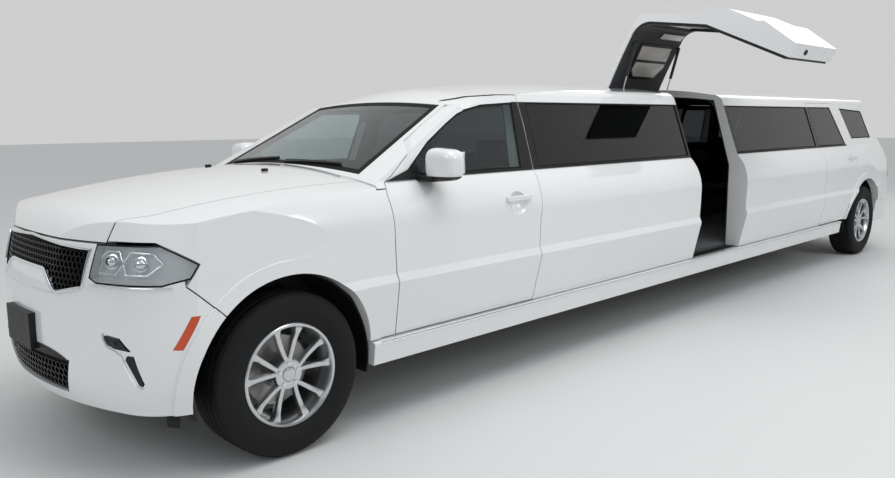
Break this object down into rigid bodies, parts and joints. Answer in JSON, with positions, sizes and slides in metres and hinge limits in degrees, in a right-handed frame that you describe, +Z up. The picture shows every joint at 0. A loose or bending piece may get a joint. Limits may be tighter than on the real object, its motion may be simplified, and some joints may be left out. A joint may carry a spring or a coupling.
{
  "type": "stretch limousine",
  "caption": "Long-wheelbase utility-vehicle limousine with a roof-hinged gull-wing jet door held open, opening side doors, hood and tailgate, and steering front wheels.",
  "frame": {"origin": "Underside of the frame's middle lift pad, on the centreline at mid wheelbase, 235 mm above the ground", "axes": "+X forward, +Y to the car's left, +Z up"},
  "size_m": [9.6001, 2.6996, 2.3672],
  "materials": {
    "body_paint": "glossy white paint",
    "privacy_glass": "dark privacy glass",
    "clear_glass": "lightly tinted glass",
    "lamp_chrome": "bright reflector",
    "red_lens": "red lens",
    "amber_lens": "amber lens",
    "black_plastic": "satin black",
    "sill_bright": "painted skirt",
    "frame_black": "black frame paint",
    "cast_metal": "cast metal",
    "exhaust_steel": "stainless",
    "rod_steel": "polished rod",
    "dark_trim": "dark lining",
    "seat_leather": "black leather",
    "tyre_rubber": "rubber",
    "rim_alloy": "silver alloy"
  },
  "bodies": {
    "body": {"chassis_frame": "frame_black", "dashboard": "dark_trim", "drive_line": "cast_metal", "engine_block": "cast_metal", "exhaust": "exhaust_steel", "fixed_glass": "privacy_glass", "floor_pan": "frame_black", "fog_lamps": "lamp_chrome", "front_bumper": "body_paint", "front_fenders": "body_paint", "front_seats": "seat_leather", "front_structure": "frame_black", "front_suspension": "cast_metal", "fuel_tank": "black_plastic", "grilles": "black_plastic", "headlamps": "lamp_chrome", "left_stretch_panels": "body_paint", "lounge_bench": "seat_leather", "plate_bracket": "black_plastic", "rear_axle": "cast_metal", "rear_bumper": "body_paint", "rear_quarters": "body_paint", "right_stretch_panel": "body_paint", "roof": "body_paint", "side_markers": "amber_lens", "side_skirts": "sill_bright", "tail_lamps": "red_lens", "wheel_liners": "black_plastic", "windscreen": "clear_glass", "wipers": "black_plastic"},
    "hood": {"hood": "body_paint"},
    "front_door_left": {"front_door_left": "body_paint", "front_door_left_glass": "clear_glass", "mirror_left": "body_paint"},
    "front_door_right": {"front_door_right": "body_paint", "front_door_right_glass": "clear_glass", "mirror_right": "body_paint"},
    "rear_door_left": {"rear_door_left": "body_paint", "rear_door_left_glass": "privacy_glass"},
    "rear_door_right": {"rear_door_right": "body_paint", "rear_door_right_glass": "privacy_glass"},
    "tailgate": {"tailgate": "body_paint", "tailgate_glass": "privacy_glass"},
    "jet_door": {"jet_door": "body_paint", "jet_door_lining": "dark_trim", "jet_door_glass": "privacy_glass", "strut_barrels": "frame_black"},
    "strut_rods": {"strut_rods": "rod_steel"},
    "knuckle_left": {"knuckle_left": "cast_metal"},
    "knuckle_right": {"knuckle_right": "cast_metal"},
    "wheel_front_left": {"tyre_front_left": "tyre_rubber", "rim_front_left": "rim_alloy"},
    "wheel_front_right": {"tyre_front_right": "tyre_rubber", "rim_front_right": "rim_alloy"},
    "wheel_rear_left": {"tyre_rear_left": "tyre_rubber", "rim_rear_left": "rim_alloy"},
    "wheel_rear_right": {"tyre_rear_right": "tyre_rubber", "rim_rear_right": "rim_alloy"}
  },
  "joints": [
    {"name": "hood_hinge", "type": "hinge", "parent": "body", "child": "hood", "pos_m": [3.247, 0, 1.064], "axis": [0, -1, 0], "range_deg": [0, 55]},
    {"name": "front_door_left_hinge", "type": "hinge", "parent": "body", "child": "front_door_left", "pos_m": [3.203, 0.968, 0.6], "axis": [0, 0, -1], "range_deg": [0, 65]},
    {"name": "front_door_right_hinge", "type": "hinge", "parent": "body", "child": "front_door_right", "pos_m": [3.203, -0.968, 0.6], "axis": [0, 0, 1], "range_deg": [0, 65]},
    {"name": "rear_door_left_hinge", "type": "hinge", "parent": "body", "child": "rear_door_left", "pos_m": [-2.566, 0.968, 0.6], "axis": [0, 0, -1], "range_deg": [0, 70]},
    {"name": "rear_door_right_hinge", "type": "hinge", "parent": "body", "child": "rear_door_right", "pos_m": [-2.566, -0.968, 0.6], "axis": [0, 0, 1], "range_deg": [0, 70]},
    {"name": "tailgate_hinge", "type": "hinge", "parent": "body", "child": "tailgate", "pos_m": [-4.508, 0, 1.457], "axis": [0, 1, 0], "range_deg": [0, 80]},
    {"name": "jet_door_hinge", "type": "hinge", "parent": "body", "child": "jet_door", "pos_m": [-0.356, 0.02, 1.56], "axis": [1, 0, 0], "range_deg": [-66, 0]},
    {"name": "strut_stroke", "type": "slide", "parent": "jet_door", "child": "strut_rods", "axis": [0, -0.2714, -0.9625], "range_m": [-0.155, 0]},
    {"name": "steer_left", "type": "hinge", "parent": "body", "child": "knuckle_left", "pos_m": [3.805, 0.69, 0.15], "axis": [0, 0, 1], "range_deg": [-33, 33]},
    {"name": "steer_right", "type": "hinge", "parent": "body", "child": "knuckle_right", "pos_m": [3.805, -0.69, 0.15], "axis": [0, 0, 1], "range_deg": [-33, 33]},
    {"name": "spin_front_left", "type": "hinge", "parent": "knuckle_left", "child": "wheel_front_left", "pos_m": [3.805, 0.8115, 0.15], "axis": [0, 1, 0], "continuous": true},
    {"name": "spin_front_right", "type": "hinge", "parent": "knuckle_right", "child": "wheel_front_right", "pos_m": [3.805, -0.8115, 0.15], "axis": [0, 1, 0], "continuous": true},
    {"name": "spin_rear_left", "type": "hinge", "parent": "body", "child": "wheel_rear_left", "pos_m": [-3.805, 0.8115, 0.15], "axis": [0, 1, 0], "continuous": true},
    {"name": "spin_rear_right", "type": "hinge", "parent": "body", "child": "wheel_rear_right", "pos_m": [-3.805, -0.8115, 0.15], "axis": [0, 1, 0], "continuous": true}
  ],
  "couplings": [
    {"joint": "strut_stroke", "follows": "jet_door_hinge", "m_per_rad": 0.1337},
    {"joint": "steer_right", "follows": "steer_left", "ratio": 1}
  ]
}
